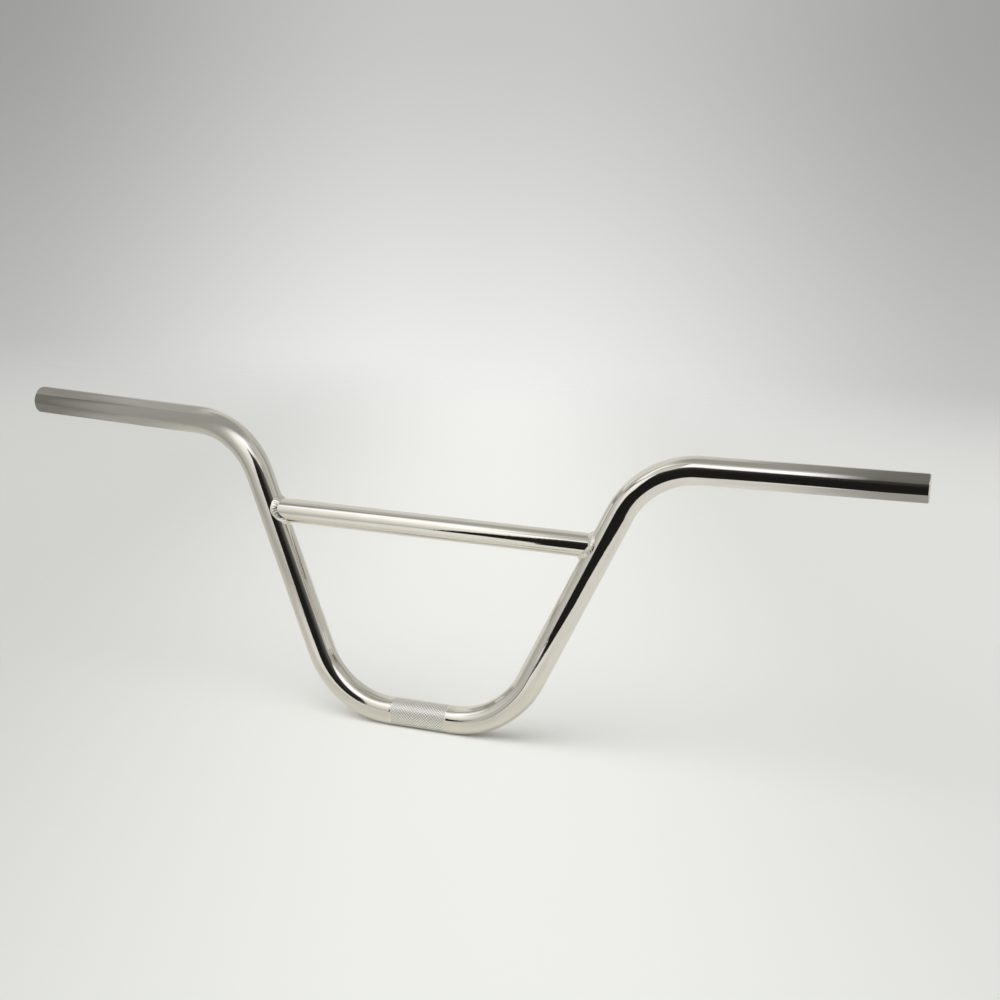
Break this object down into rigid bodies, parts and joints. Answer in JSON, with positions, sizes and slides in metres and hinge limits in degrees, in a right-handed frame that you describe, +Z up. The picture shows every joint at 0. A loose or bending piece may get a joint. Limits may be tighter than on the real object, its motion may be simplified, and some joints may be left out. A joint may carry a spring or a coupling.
{
  "type": "bmx handlebar",
  "caption": "Plated steel BMX handlebar: a high-rise bent tube with a knurled clamp seat, swept-back grip ends and a crossbar welded between its legs.",
  "frame": {"origin": "middle of the clamp seat, on the tube's centreline", "axes": "+X along the clamp seat to the right as seen from the front, +Y back towards the rider, +Z up from the clamp to the grips"},
  "size_m": [0.7504, 0.0473, 0.2402],
  "materials": {
    "plated_tube": "bright plated, polished",
    "plated_crossbar": "bright plated, polished",
    "plated_weld": "bright plated over the weld bead"
  },
  "bodies": {
    "root": {"handlebar_tube": "plated_tube", "crossbar": "plated_crossbar", "weld_left": "plated_weld", "weld_right": "plated_weld"}
  },
  "joints": []
}
